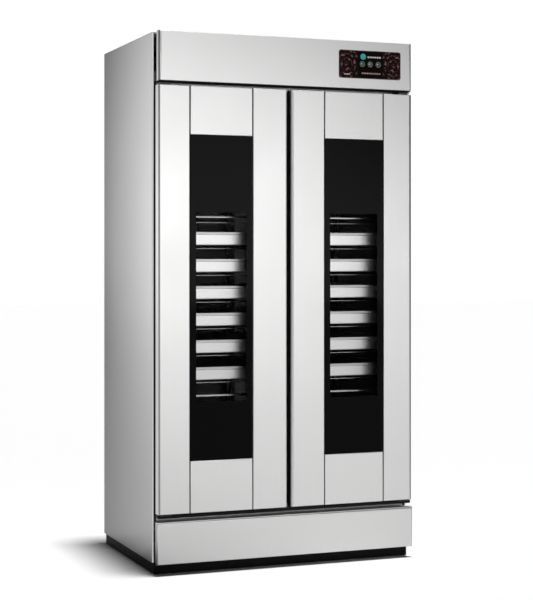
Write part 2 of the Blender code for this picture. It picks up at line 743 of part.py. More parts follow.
def main():
    clear_scene()
    base_frame()
    side_panel("left_side_panel", -1)
    side_panel("right_side_panel", 1)
    rear_panel()
    top_panel()
    insulation_tub()
    inner_liner()
    front_frame()
    header_panel()
    plinth_panel()
    for prefix, side in (("left", -1), ("right", 1)):
        door(prefix, side)
        hinge(f"{prefix}_upper_hinge", side, DOOR_TOP + 0.003, -1)
        hinge(f"{prefix}_lower_hinge", side, DOOR_BOTTOM - 0.003, 1)
        rack(f"{prefix}_outer_rack", side, False, 0.0235)
        rack(f"{prefix}_inner_rack", side, True, 0.0415)
        for i in range(TRAYS):
            tray(f"{prefix}_tray_{i + 1}", side * TRAY_CENTRE_X, TOP_TRAY_LEVEL - i * TRAY_PITCH)
    fan_impeller()
    fan_motor()
    fan_cover()
    air_heater()
    water_pan()
    interior_lamp()
    control_box()
    control_panel()
    for name, x in BUTTONS.items():
        button(name, x)
    cable_gland()
    shade_smooth()


main()
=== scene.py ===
# %% [markdown]
# # A two-door proofing cabinet
# Bakers leave trays of dough in a cabinet like this one to rise in warm, damp air. The frame that is
# loaded here holds its structure: every panel, tray and hinge at its real size. This lesson keeps what
# is right, models again the pieces that need a finer shape, and gives every surface its finish.

# %% Load the frame
import json
import math

import bpy
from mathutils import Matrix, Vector


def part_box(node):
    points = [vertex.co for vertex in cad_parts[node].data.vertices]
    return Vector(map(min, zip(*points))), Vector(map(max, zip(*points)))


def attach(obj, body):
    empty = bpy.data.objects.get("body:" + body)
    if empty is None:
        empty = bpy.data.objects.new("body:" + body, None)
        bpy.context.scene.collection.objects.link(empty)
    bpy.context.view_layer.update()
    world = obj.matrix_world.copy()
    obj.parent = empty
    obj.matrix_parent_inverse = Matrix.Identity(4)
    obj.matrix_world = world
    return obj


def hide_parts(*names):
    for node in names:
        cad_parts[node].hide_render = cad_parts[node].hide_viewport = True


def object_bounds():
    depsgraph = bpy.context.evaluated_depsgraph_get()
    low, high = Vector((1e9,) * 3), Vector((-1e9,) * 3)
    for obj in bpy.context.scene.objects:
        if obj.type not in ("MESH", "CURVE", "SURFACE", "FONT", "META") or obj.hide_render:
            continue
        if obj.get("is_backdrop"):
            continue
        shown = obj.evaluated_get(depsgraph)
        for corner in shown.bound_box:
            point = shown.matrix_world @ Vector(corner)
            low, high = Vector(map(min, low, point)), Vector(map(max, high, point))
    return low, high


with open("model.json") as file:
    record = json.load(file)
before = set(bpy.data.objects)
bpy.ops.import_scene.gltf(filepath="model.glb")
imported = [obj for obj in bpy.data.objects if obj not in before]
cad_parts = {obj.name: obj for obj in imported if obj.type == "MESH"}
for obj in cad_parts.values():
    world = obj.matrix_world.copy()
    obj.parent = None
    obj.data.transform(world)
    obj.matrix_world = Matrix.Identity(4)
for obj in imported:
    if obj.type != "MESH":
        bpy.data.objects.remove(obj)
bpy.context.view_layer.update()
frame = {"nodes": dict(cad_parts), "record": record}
nodes = frame["nodes"]

# %% [markdown]
# ## The camera
# A tall cabinet looks calm when its upright edges stay upright, so the camera is level and its lens is
# shifted down instead, as an architect's camera is. It stands a little to the left and well back, with
# a long lens, so the front is nearly flat on and the left side is seen at a slant.

# %% The camera
DOOR_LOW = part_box("left_hinge_stile")[0]
DOOR_FACE = DOOR_LOW.y
TURN = math.radians(21.34)  # to the right of straight on

bpy.ops.object.camera_add(location=(-2.10, DOOR_FACE - 5.15, 1.1205), rotation=(math.pi / 2, 0, -TURN))
camera = bpy.context.object
camera.data.lens = 92.1
camera.data.shift_y = -0.0705
bpy.context.scene.camera = camera
bpy.context.scene.view_settings.view_transform = "Standard"

# %% [markdown]
# ## The studio
# Sheet steel has hardly any colour of its own: it shows what stands round it. So the studio matters more
# than the metal. The sky of this scene is a soft tent with light and dark cards round it. It is brightest
# in front, a little to the right, where the doors look. Dark cards stand at the left and the right: the
# doors' rounded edges mirror them as thin dark lines, and so a studio draws the outline of shiny things.
# It dims upwards, and along a slant towards the upper right. Above is a pale ceiling that only
# reflections find. The camera itself sees plain white.

# %% The tent
# Each pair is a bearing in degrees, 0 straight in front of the doors and 90 to their right, and how
# bright the tent is there, as a share of its brightest place.
BRIGHTEST = 2.62
TENT_CARDS = ((-180, 0.50), (-150, 0.47), (-132, 0.10), (-110, 0.0), (-42, 0.0), (-20, 0.22), (-4, 0.84),
              (10, 0.97), (22, 1.00), (32, 0.88), (48, 0.08), (118, 0.07), (150, 0.42), (180, 0.50))
CEILING = 0.75


def add_node(tree, kind, place=(0, 0), **values):
    """Adds a node and sets its properties."""
    node = tree.nodes.new(kind)
    node.location = place
    for name, value in values.items():
        setattr(node, name, value)
    return node


def ramp_between(tree, source, low, high, to_low, to_high, smooth=True):
    """Adds a Map Range node that reads a value socket, and returns its result socket."""
    node = add_node(tree, "ShaderNodeMapRange", interpolation_type="SMOOTHSTEP" if smooth else "LINEAR")
    tree.links.new(source, node.inputs["Value"])
    for name, value in (("From Min", low), ("From Max", high), ("To Min", to_low), ("To Max", to_high)):
        node.inputs[name].default_value = value
    return node.outputs["Result"]


def math_node(tree, operation, first, second=None):
    """Adds a Math node whose inputs are sockets or numbers, and returns its result socket."""
    node = add_node(tree, "ShaderNodeMath", operation=operation)
    for socket, value in zip(node.inputs, (first, second)):
        if isinstance(value, bpy.types.NodeSocket):
            tree.links.new(value, socket)
        elif value is not None:
            socket.default_value = value
    return node.outputs[0]


def by_camera(tree, others, camera_colour):
    """Adds a Mix that answers one colour to the camera and another to every other ray."""
    seen = add_node(tree, "ShaderNodeLightPath")
    mix = add_node(tree, "ShaderNodeMix", data_type="RGBA")
    tree.links.new(seen.outputs["Is Camera Ray"], mix.inputs["Factor"])
    if isinstance(others, bpy.types.NodeSocket):
        tree.links.new(others, mix.inputs["A"])
    else:
        mix.inputs["A"].default_value = (others, others, others, 1)
    mix.inputs["B"].default_value = (camera_colour, camera_colour, camera_colour, 1)
    return mix.outputs["Result"]


def cards_round(tree, across, along, cards):
    """Reads two coordinates, and returns the bearing they lie on and how bright the cards are there."""
    bearing = math_node(tree, "ARCTAN2", across, math_node(tree, "MULTIPLY", along, -1))
    ramp = add_node(tree, "ShaderNodeValToRGB")
    ramp.color_ramp.interpolation = "B_SPLINE"
    tree.links.new(ramp_between(tree, bearing, -math.pi, math.pi, 0, 1, smooth=False), ramp.inputs["Fac"])
    while len(ramp.color_ramp.elements) < len(cards):
        ramp.color_ramp.elements.new(0.5)
    for stop, (degrees, value) in zip(ramp.color_ramp.elements, cards):
        stop.position = (degrees + 180) / 360
        stop.color = (value, value, value, 1)
    return bearing, ramp.outputs["Color"]


world = bpy.data.worlds.new("tent")
world.use_nodes = True
bpy.context.scene.world = world
tent = world.node_tree
direction = add_node(tent, "ShaderNodeTexCoord")
axes = add_node(tent, "ShaderNodeSeparateXYZ")
tent.links.new(direction.outputs["Generated"], axes.inputs[0])
bearing, cards = cards_round(tent, axes.outputs["X"], axes.outputs["Y"], TENT_CARDS)
slant = math_node(tent, "ADD", axes.outputs["Z"], bearing)
upper_right = ramp_between(tent, slant, 0.42, 0.62, 1.0, 0.03)
height = ramp_between(tent, axes.outputs["Z"], 0.01, 0.23, BRIGHTEST, BRIGHTEST * 0.17)
walls = math_node(tent, "MULTIPLY", cards, math_node(tent, "MULTIPLY", upper_right, height))
glossy = add_node(tent, "ShaderNodeLightPath").outputs["Is Glossy Ray"]
ceiling = math_node(tent, "MULTIPLY", ramp_between(tent, axes.outputs["Z"], 0.45, 0.70, 0, CEILING), glossy)
light = math_node(tent, "ADD", walls, ceiling)
tent.links.new(by_camera(tent, light, 1.0), tent.nodes["Background"].inputs["Color"])

# %% [markdown]
# One large soft lamp stands high on the right. It draws the gentle shadow that falls to the left of the
# base. The floor is a white sheet that melts into the background for the camera. The steel sees it darker,
# and darker still at the left and the right, where the dark cards stand on it.

# %% Lamp and floor
CARDS_CENTRE = 0.25  # the floor's cards are laid round this Y, a little behind the cabinet's middle
FLOOR_CARDS = ((-180, 0.66), (-120, 0.66), (-78, 0.60), (-68, 0.10), (-60, 0.02), (-47, 0.02),
               (-35, 0.28), (-22, 0.49), (0, 0.59), (20, 0.73), (42, 0.70), (55, 0.12), (68, 0.02),
               (125, 0.02), (150, 0.50), (180, 0.66))

bpy.ops.object.light_add(type="SUN", location=(0.175, -0.14, 3.0))
lamp = bpy.context.object
lamp.name = "soft_lamp"
lamp.data.angle = math.radians(7)
lamp.data.energy = 3.2
lamp.rotation_euler = (-lamp.location).to_track_quat("-Z", "Y").to_euler()

bpy.ops.mesh.primitive_plane_add(size=60, location=(0, 0, 0))
floor = bpy.context.object
floor.name = "floor"
floor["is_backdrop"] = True
white = bpy.data.materials.new("white_sheet")
white.use_nodes = True
sheet = white.node_tree.nodes["Principled BSDF"]
sheet.inputs["Roughness"].default_value = 0.9
sheet.inputs["Specular IOR Level"].default_value = 0.0
sheet.inputs["Emission Strength"].default_value = 1.0
ground = add_node(white.node_tree, "ShaderNodeSeparateXYZ")
white.node_tree.links.new(add_node(white.node_tree, "ShaderNodeTexCoord").outputs["Object"], ground.inputs[0])
in_front = math_node(white.node_tree, "SUBTRACT", ground.outputs["Y"], CARDS_CENTRE)
grey = cards_round(white.node_tree, ground.outputs["X"], in_front, FLOOR_CARDS)[1]
white.node_tree.links.new(by_camera(white.node_tree, grey, 0.92), sheet.inputs["Base Color"])
white.node_tree.links.new(by_camera(white.node_tree, 0.0, 0.01), sheet.inputs["Emission Color"])
floor.data.materials.append(white)

# %% [markdown]
# ## Shared effects
# Two things happen on nearly every surface here. Rolled or brushed sheet has fine lines that all run one
# way, and anything that hands touch has faint smudges that change how it shines. Both are built once as
# node groups with named sockets, and each finish places them with its own numbers.


# %% Node groups
def new_group(name, inputs, outputs):
    """Makes an empty shader node group. Inputs are (name, type, default) and outputs (name, type)."""
    group = bpy.data.node_groups.new(name, "ShaderNodeTree")
    for title, kind, default in inputs:
        socket = group.interface.new_socket(title, in_out="INPUT", socket_type=kind)
        if default is not None:
            socket.default_value = default
    for title, kind in outputs:
        group.interface.new_socket(title, in_out="OUTPUT", socket_type=kind)
    return group, add_node(group, "NodeGroupInput", (-900, 0)), add_node(group, "NodeGroupOutput", (700, 0))


FLOAT, COLOUR, VECTOR = "NodeSocketFloat", "NodeSocketColor", "NodeSocketVector"

grain, enter, leave = new_group(
    "sheet_grain",
    [("Vector", VECTOR, None), ("Colour", COLOUR, (0.7, 0.7, 0.7, 1)), ("Stretch", VECTOR, (900, 900, 6)),
     ("Contrast", FLOAT, 0.05), ("Roughness", FLOAT, 0.3), ("Roughness Change", FLOAT, 0.06)],
    [("Colour", COLOUR), ("Roughness", FLOAT), ("Height", FLOAT)])
stretched = add_node(grain, "ShaderNodeVectorMath", operation="MULTIPLY")
grain.links.new(enter.outputs["Vector"], stretched.inputs[0])
grain.links.new(enter.outputs["Stretch"], stretched.inputs[1])
lines = add_node(grain, "ShaderNodeTexNoise")
lines.inputs["Scale"].default_value = 1.0
lines.inputs["Detail"].default_value = 3.0
grain.links.new(stretched.outputs[0], lines.inputs["Vector"])
clouds = add_node(grain, "ShaderNodeTexNoise")
clouds.inputs["Scale"].default_value = 3.5
clouds.inputs["Detail"].default_value = 2.0
grain.links.new(enter.outputs["Vector"], clouds.inputs["Vector"])
centred = math_node(grain, "SUBTRACT", lines.outputs["Fac"], 0.5)
tone = math_node(grain, "ADD", math_node(grain, "MULTIPLY", centred, enter.outputs["Contrast"]), 1.0)
tinted = add_node(grain, "ShaderNodeVectorMath", operation="SCALE")
grain.links.new(enter.outputs["Colour"], tinted.inputs[0])
grain.links.new(tone, tinted.inputs["Scale"])
grain.links.new(tinted.outputs[0], leave.inputs["Colour"])
blotch = math_node(grain, "ADD", centred, math_node(grain, "SUBTRACT", clouds.outputs["Fac"], 0.5))
change = math_node(grain, "MULTIPLY", blotch, enter.outputs["Roughness Change"])
grain.links.new(math_node(grain, "ADD", change, enter.outputs["Roughness"]), leave.inputs["Roughness"])
grain.links.new(lines.outputs["Fac"], leave.inputs["Height"])

smudge, enter, leave = new_group(
    "hand_smudges",
    [("Vector", VECTOR, None), ("Size", FLOAT, 18.0), ("Roughness", FLOAT, 0.1), ("Amount", FLOAT, 0.08)],
    [("Roughness", FLOAT), ("Height", FLOAT)])
patches = add_node(smudge, "ShaderNodeTexNoise")
patches.inputs["Detail"].default_value = 4.0
smudge.links.new(enter.outputs["Vector"], patches.inputs["Vector"])
smudge.links.new(enter.outputs["Size"], patches.inputs["Scale"])
rubbed = ramp_between(smudge, patches.outputs["Fac"], 0.45, 0.75, 0.0, 1.0)
added = math_node(smudge, "MULTIPLY", rubbed, enter.outputs["Amount"])
smudge.links.new(math_node(smudge, "ADD", added, enter.outputs["Roughness"]), leave.inputs["Roughness"])
smudge.links.new(patches.outputs["Fac"], leave.inputs["Height"])

# %% [markdown]
# ## Finishes
# A finish is a material: its own Principled shader, with the groups feeding colour, roughness and a very
# small bump. The helper below starts a material with the numbers that are the same all over, and hands
# back what is needed to add what changes over the surface.


# %% Helpers for finishes
def new_finish(name, colour, roughness, metallic=0.0, **plain):
    """Starts a material. plain holds other sockets of the shader, with spaces written as underscores."""
    material = bpy.data.materials.new(name)
    material.use_nodes = True
    tree = material.node_tree
    shader = tree.nodes["Principled BSDF"]
    shader.inputs["Base Color"].default_value = (*colour, 1)
    shader.inputs["Roughness"].default_value = roughness
    shader.inputs["Metallic"].default_value = metallic
    for socket, value in plain.items():
        shader.inputs[socket.replace("_", " ")].default_value = value
    where = add_node(tree, "ShaderNodeTexCoord", (-900, 200)).outputs["Object"]
    return material, tree, shader, where


def place_group(tree, group, where, **values):
    """Puts a node group in a material, reads the coordinates into it and sets its other inputs."""
    node = add_node(tree, "ShaderNodeGroup", (-500, 0), node_tree=group)
    tree.links.new(where, node.inputs["Vector"])
    for socket, value in values.items():
        node.inputs[socket.replace("_", " ")].default_value = value
    return node


def add_bump(tree, shader, height, depth, strength=1.0):
    """Feeds a height into the shader's normal, with the depth in metres."""
    bump = add_node(tree, "ShaderNodeBump", (-200, -300))
    bump.inputs["Distance"].default_value = depth
    bump.inputs["Strength"].default_value = strength
    tree.links.new(height, bump.inputs["Height"])
    tree.links.new(bump.outputs["Normal"], shader.inputs["Normal"])


def grained(name, colour, roughness, metallic, stretch, contrast=0.05, change=0.06, depth=0.00002, **plain):
    """A finish whose colour, shine and surface all follow the sheet_grain group."""
    material, tree, shader, where = new_finish(name, colour, roughness, metallic, **plain)
    node = place_group(tree, grain, where, Colour=(*colour, 1), Stretch=stretch, Contrast=contrast,
                       Roughness=roughness, Roughness_Change=change)
    tree.links.new(node.outputs["Colour"], shader.inputs["Base Color"])
    tree.links.new(node.outputs["Roughness"], shader.inputs["Roughness"])
    add_bump(tree, shader, node.outputs["Height"], depth)
    return material


def smudged(name, colour, roughness, metallic=0.0, size=18.0, amount=0.08, depth=0.00001, **plain):
    """A finish whose shine follows the hand_smudges group."""
    material, tree, shader, where = new_finish(name, colour, roughness, metallic, **plain)
    node = place_group(tree, smudge, where, Size=size, Roughness=roughness, Amount=amount)
    tree.links.new(node.outputs["Roughness"], shader.inputs["Roughness"])
    add_bump(tree, shader, node.outputs["Height"], depth)
    return material


# %% [markdown]
# The outer sheets are stainless steel brushed up and down. The lines are far too fine to see from the
# camera's place, but they soften the reflections. The inside and the racks are a duller sheet, painted
# nearly black as painted shade for the cabinet's dark inside, the trays are bright rolled aluminium, and
# the base is black paint.

# %% Metals, paint, rubber and plastic
UPRIGHT = (1400, 1400, 7)
CROSSWISE = (7, 1400, 1400)

finishes = {
    "brushed_steel": grained("brushed_steel", (0.80, 0.80, 0.795), 0.29, 1.0, UPRIGHT, 0.05, 0.05),
    # The liner's near-black colour is painted shade for the cabinet's dark inside.
    "liner_steel": grained("liner_steel", (0.11, 0.11, 0.11), 0.42, 1.0, CROSSWISE, 0.08, 0.08),
    "nose_steel": grained("nose_steel", (0.84, 0.84, 0.84), 0.60, 1.0, UPRIGHT, 0.05, 0.05),
    "frame_steel": grained("frame_steel", (0.80, 0.80, 0.80), 0.45, 1.0, CROSSWISE, 0.08, 0.08),
    # The racks' near-black colour is painted shade.
    "rack_painted_shade": grained("rack_painted_shade", (0.03, 0.03, 0.03), 0.45, 1.0, CROSSWISE, 0.08, 0.08),
    "polished_steel": grained("polished_steel", (0.90, 0.90, 0.90), 0.15, 1.0, CROSSWISE, 0.03, 0.04),
    "black_steel": smudged("black_steel", (0.006, 0.006, 0.006), 0.5, size=60, amount=0.15, depth=0.00006,
                           Specular_IOR_Level=0.12),
    "black_plastic": smudged("black_plastic", (0.006, 0.006, 0.006), 0.6, size=80, amount=0.1,
                             Specular_IOR_Level=0.25),
    "rubber": smudged("rubber", (0.008, 0.008, 0.008), 0.75, size=120, amount=0.15, depth=0.00008,
                      Specular_IOR_Level=0.25),
    "foam": smudged("foam", (0.74, 0.66, 0.42), 0.9, size=400, amount=0.05, depth=0.0006),
    "grey_plastic": smudged("grey_plastic", (0.10, 0.10, 0.105), 0.5, size=300, amount=0.1, depth=0.00005),
    "heater_sheath": smudged("heater_sheath", (0.20, 0.18, 0.16), 0.45, 1.0, size=90, amount=0.25),
    "lamp": smudged("lamp", (0.88, 0.88, 0.84), 0.35, size=200, amount=0.1, Transmission_Weight=0.0),
    # Painted highlight: a pale colour that glows, for the edge trims' fine light line.
    "painted_highlight_trim": smudged("painted_highlight_trim", (0.90, 0.90, 0.90), 0.4, size=60, amount=0.1,
                         Emission_Color=(0.9, 0.9, 0.9, 1), Emission_Strength=0.45),
    "tray_inside": grained("tray_inside", (0.05, 0.05, 0.05), 0.5, 0.0, CROSSWISE, 0.1, 0.05),
    "buttons": smudged("buttons", (0.20, 0.24, 0.21), 0.34, 0.6, size=200, amount=0.1),
}

# %% [markdown]
# The side panels' colour holds painted shade and painted light: it falls off towards the wall, less so
# near the floor, and it is painted lighter at the top. Their finish is the same brushed steel with its
# colour drawn from these painted fades.

# %% Side panels' finish, with painted shade
# Painted shade: the colour falls off towards the wall, less so near the floor, and painted light makes the
# top lighter.
REAR_PAINTED_TONES, FRONT_PAINTED_TONES = (0.24, 0.150), (0.56, 0.745)  # near the floor, and a metre up
PAINTED_TOP_LIGHT = 1.2  # how much lighter the top is
side_low, side_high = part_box("left_side_panel")
material, tree, shader, where = new_finish("side_steel_painted_fade", (0.6, 0.6, 0.6), 0.34, 1.0)
node = place_group(tree, grain, where, Stretch=UPRIGHT, Contrast=0.05, Roughness=0.34,
                   Roughness_Change=0.05)
place = add_node(tree, "ShaderNodeSeparateXYZ")
tree.links.new(where, place.inputs[0])
forwards = ramp_between(tree, place.outputs["Y"], side_low.y, side_high.y, 1.0, 0.0, smooth=False)
tone = add_node(tree, "ShaderNodeMix", data_type="FLOAT")
tree.links.new(forwards, tone.inputs["Factor"])
for socket, tones in (("A", REAR_PAINTED_TONES), ("B", FRONT_PAINTED_TONES)):
    tree.links.new(ramp_between(tree, place.outputs["Z"], 0.2, 1.0, *tones), tone.inputs[socket])
painted_fade = math_node(tree, "MULTIPLY", tone.outputs["Result"],
                   ramp_between(tree, place.outputs["Z"], 1.2, 1.9, 1.0, PAINTED_TOP_LIGHT))
tree.links.new(painted_fade, node.inputs["Colour"])
tree.links.new(node.outputs["Colour"], shader.inputs["Base Color"])
tree.links.new(node.outputs["Roughness"], shader.inputs["Roughness"])
add_bump(tree, shader, node.outputs["Height"], 0.00002)
finishes["side_steel_painted_fade"] = material

# %% [markdown]
# The trays' colour holds painted shade: each tray is painted darker towards its right end and under its
# rim, and the lower a tray stands, the darker it is painted. The distance from a tray's left end and from
# its bottom is what is left over when a coordinate is divided by the trays' spacing.

# %% Trays' finish, with painted shade
# Painted shade: how dark the tray colour is painted at the right end, under the rim and on the lowest trays.
RIGHT_SHADE, RIM_SHADE, LOW_SHADE = 0.80, 0.62, 0.78
first_tray_low, last_tray_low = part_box("left_tray_1")[0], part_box("left_tray_6")[0]
column_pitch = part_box("right_tray_1")[0].x - first_tray_low.x
tray_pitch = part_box("left_tray_5")[0].z - last_tray_low.z
material, tree, shader, where = new_finish("tray_aluminium", (0.98, 0.98, 0.98), 0.30, 1.0)
node = place_group(tree, grain, where, Stretch=CROSSWISE, Contrast=0.12, Roughness=0.30,
                   Roughness_Change=0.10)
place = add_node(tree, "ShaderNodeSeparateXYZ")
tree.links.new(where, place.inputs[0])
across = math_node(tree, "SUBTRACT", place.outputs["X"], first_tray_low.x)
from_left = math_node(tree, "MODULO", across, column_pitch)
up = math_node(tree, "SUBTRACT", place.outputs["Z"], last_tray_low.z)
from_bottom = math_node(tree, "MODULO", up, tray_pitch)
to_the_right = ramp_between(tree, from_left, 0.18, 0.33, 0.99, RIGHT_SHADE)
to_the_rim = ramp_between(tree, from_bottom, 0.036, 0.0435, 1.0, RIM_SHADE)
with_height = ramp_between(tree, place.outputs["Z"], 0.65, 1.15, LOW_SHADE, 1.0, smooth=False)
shade = math_node(tree, "MULTIPLY", math_node(tree, "MULTIPLY", to_the_right, to_the_rim), with_height)
tree.links.new(shade, node.inputs["Colour"])
tree.links.new(node.outputs["Colour"], shader.inputs["Base Color"])
tree.links.new(node.outputs["Roughness"], shader.inputs["Roughness"])
add_bump(tree, shader, node.outputs["Height"], 0.00002)
finishes["tray_aluminium"] = material

# %% [markdown]
# ## Glass with a printed border
# The outer pane is black glass all round, printed from behind, with one clear field in the middle where
# the trays show. Rather than cut the pane in three, one material holds both: a group measures how far a
# point is from the middle of the pane and answers 1 on the print and 0 on the clear field. That feeds
# Alpha. The print is a fine screen of dots: it looks black, but lets light in onto the trays' ends, so
# only the camera finds it quite solid. The two panes mirror each other, so the group reads the distance
# from the cabinet's middle.

# %% The print's group
border, enter, leave = new_group(
    "printed_border",
    [("Vector", VECTOR, None), ("Middle X", FLOAT, 0.25), ("Middle Z", FLOAT, 1.0), ("Half X", FLOAT, 0.1),
     ("Half Z", FLOAT, 0.5), ("Fade", FLOAT, 0.001)],
    [("Print", FLOAT)])
parts = add_node(border, "ShaderNodeSeparateXYZ")
border.links.new(enter.outputs["Vector"], parts.inputs[0])
beyond = []
for axis in "XZ":
    near = math_node(border, "ABSOLUTE", parts.outputs[axis]) if axis == "X" else parts.outputs[axis]
    off = math_node(border, "ABSOLUTE", math_node(border, "SUBTRACT", near, enter.outputs[f"Middle {axis}"]))
    beyond.append(math_node(border, "SUBTRACT", off, enter.outputs[f"Half {axis}"]))
furthest = math_node(border, "MAXIMUM", *beyond)
faded = math_node(border, "DIVIDE", furthest, enter.outputs["Fade"])
clamped = add_node(border, "ShaderNodeClamp")
border.links.new(faded, clamped.inputs["Value"])
border.links.new(clamped.outputs[0], leave.inputs["Print"])

# %% Outer and inner glass
glass_low, glass_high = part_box("right_outer_glass")
CLEAR_SIDE = 0.0225  # width of the print left and right of the clear field
CLEAR_LOW, CLEAR_HIGH = 0.610, 1.282
TINT = 0.03  # how much the clear field covers
PRINT_COVER = 0.35  # how much the print covers for rays that don't come from the camera

material, tree, shader, where = new_finish("black_glass", (0.004, 0.004, 0.005), 0.06,
                                           Specular_IOR_Level=0.05)
field = place_group(tree, border, where, Middle_X=(glass_low.x + glass_high.x) / 2,
                    Middle_Z=(CLEAR_LOW + CLEAR_HIGH) / 2,
                    Half_X=(glass_high.x - glass_low.x) / 2 - CLEAR_SIDE,
                    Half_Z=(CLEAR_HIGH - CLEAR_LOW) / 2)
seen = add_node(tree, "ShaderNodeLightPath").outputs["Is Camera Ray"]
blocked = ramp_between(tree, seen, 0, 1, PRINT_COVER, 1.0, smooth=False)
cover = math_node(tree, "MULTIPLY", field.outputs["Print"], blocked)
tree.links.new(math_node(tree, "MAXIMUM", cover, TINT), shader.inputs["Alpha"])
marks = place_group(tree, smudge, where, Size=9.0, Roughness=0.05, Amount=0.06)
tree.links.new(marks.outputs["Roughness"], shader.inputs["Roughness"])
finishes["black_glass"] = material

finishes["clear_glass"] = smudged("clear_glass", (0.02, 0.025, 0.025), 0.05, size=9.0, amount=0.05,
                                  Alpha=0.02)

# %% [markdown]
# ## The face plate's print
# The controls sit on a glossy black plate with a dusty rose swirl at its two ends. The swirl is a wave
# of rings that a noise bends out of true, shown only where a mask lets it through, so it thins out
# towards the buttons.

# %% Face plate print
plate_low, plate_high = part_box("control_panel")
plate_middle = (plate_low + plate_high) / 2
material, tree, shader, where = new_finish("panel_print", (0.02, 0.008, 0.01), 0.2,
                                           Specular_IOR_Level=0.04)
apart = add_node(tree, "ShaderNodeSeparateXYZ")
tree.links.new(where, apart.inputs[0])
from_middle = math_node(tree, "ABSOLUTE", math_node(tree, "SUBTRACT", apart.outputs["X"], plate_middle.x))
curl_centre = add_node(tree, "ShaderNodeCombineXYZ")
tree.links.new(math_node(tree, "SUBTRACT", from_middle, 0.096), curl_centre.inputs["X"])
tree.links.new(math_node(tree, "SUBTRACT", apart.outputs["Z"], plate_middle.z), curl_centre.inputs["Z"])
swirl = add_node(tree, "ShaderNodeTexWave", wave_type="RINGS", rings_direction="SPHERICAL")
for socket, value in (("Scale", 19.0), ("Distortion", 9.0), ("Detail", 4.0), ("Detail Scale", 4.5),
                      ("Phase Offset", 0.8)):
    swirl.inputs[socket].default_value = value
tree.links.new(curl_centre.outputs[0], swirl.inputs["Vector"])
thin = ramp_between(tree, swirl.outputs["Fac"], 0.62, 0.96, 0.0, 1.0)
ends = ramp_between(tree, from_middle, 0.045, 0.062, 0.0, 1.0)
breaks = add_node(tree, "ShaderNodeTexNoise")
breaks.inputs["Scale"].default_value = 85.0
tree.links.new(curl_centre.outputs[0], breaks.inputs["Vector"])
shown = math_node(tree, "MULTIPLY", math_node(tree, "MULTIPLY", thin, ends),
                  ramp_between(tree, breaks.outputs["Fac"], 0.45, 0.65, 0.05, 0.9))
ground = add_node(tree, "ShaderNodeMix", data_type="RGBA")
ground.inputs["A"].default_value = (0.006, 0.003, 0.002, 1)
ground.inputs["B"].default_value = (0.022, 0.005, 0.007, 1)
tree.links.new(ramp_between(tree, from_middle, 0.02, 0.12, 0.0, 1.0), ground.inputs["Factor"])
rose = add_node(tree, "ShaderNodeMix", data_type="RGBA")
rose.inputs["B"].default_value = (0.42, 0.26, 0.24, 1)
tree.links.new(shown, rose.inputs["Factor"])
tree.links.new(ground.outputs["Result"], rose.inputs["A"])
tree.links.new(rose.outputs["Result"], shader.inputs["Base Color"])
finishes["panel_print"] = material

# %% [markdown]
# ## Finishes on the frame's own pieces
# Every node of the frame gets the finish that its material slot names. Its edges are sharp, because the
# frame is a plain solid, and real folded sheet never is. A Weld joins its loose triangles, and a narrow
# Bevel on what is still sharp catches the light. Both stay live: the frame's own mesh isn't changed.

# %% Dress the frame
slot_of = {part["node"]: part["material_slot"] for part in frame["record"]["subparts"]}
SOFT_EDGE = 0.0006


def soften(piece, width=SOFT_EDGE):
    """Rounds the sharp edges of a frame node with live modifiers."""
    weld = piece.modifiers.new("weld", "WELD")
    weld.merge_threshold = 0.00001
    bevel = piece.modifiers.new("soft edges", "BEVEL")
    bevel.width = width
    bevel.segments = 2
    bevel.limit_method = "ANGLE"
    bevel.angle_limit = math.radians(50)
    bevel.harden_normals = True


def finish_for(name):
    """The finish of a frame node: its slot's own, but for the side panels, the frame and the racks."""
    if name == "front_frame":
        return "frame_steel"
    if name.endswith("_side_panel"):
        return "side_steel_painted_fade"
    return "rack_painted_shade" if name.endswith("_rack") else slot_of[name]


for name, piece in nodes.items():
    piece.data.materials.clear()
    piece.data.materials.append(finishes[finish_for(name)])

SHARP = {"left_side_panel": 0.0016, "right_side_panel": 0.0016, "front_frame": 0.0015, "base_frame": 0.002,
         "top_panel": 0.0005, "control_box": 0.001, "water_pan": 0.0006, "interior_lamp": 0.001}
for name, width in SHARP.items():
    soften(nodes[name], width)
print("dressed", len(nodes), "nodes")

# %% [markdown]
# ## Modelling helpers
# Each new piece starts as a primitive at its size and place. Everything is deselected first, because an
# operator works on all that is selected. Faces and edges are chosen by where they are or which way they
# face, and then the usual tools are used on them.


# %% Helpers for modelling
def clear_selection():
    """Leaves edit mode and deselects everything."""
    if bpy.context.object and bpy.context.object.mode != "OBJECT":
        bpy.ops.object.mode_set(mode="OBJECT")
    bpy.ops.object.select_all(action="DESELECT")


def only(piece):
    """Makes this the only selected piece, and the active one."""
    clear_selection()
    piece.select_set(True)
    bpy.context.view_layer.objects.active = piece
    return piece


def block(name, low, high):
    """A cuboid between two corners, with its place in its mesh."""
    clear_selection()
    low, high = Vector(low), Vector(high)
    bpy.ops.mesh.primitive_cube_add(size=1, location=(low + high) / 2, scale=high - low)
    bpy.context.object.name = name
    bpy.ops.object.transform_apply(location=True, rotation=True, scale=True)
    return bpy.context.object


def choose(piece, kind, test):
    """Goes into edit mode with the faces or edges that pass a test selected."""
    only(piece)
    bpy.ops.object.mode_set(mode="EDIT")
    bpy.ops.mesh.select_mode(type=kind)
    bpy.ops.mesh.select_all(action="DESELECT")
    bpy.ops.object.mode_set(mode="OBJECT")
    for item in piece.data.polygons if kind == "FACE" else piece.data.edges:
        item.select = test(item)
    bpy.ops.object.mode_set(mode="EDIT")


def done(piece):
    """Leaves edit mode."""
    bpy.ops.object.mode_set(mode="OBJECT")
    return piece


def edge_ends(piece, edge):
    """The places of an edge's two ends."""
    return [piece.data.vertices[i].co for i in edge.vertices]


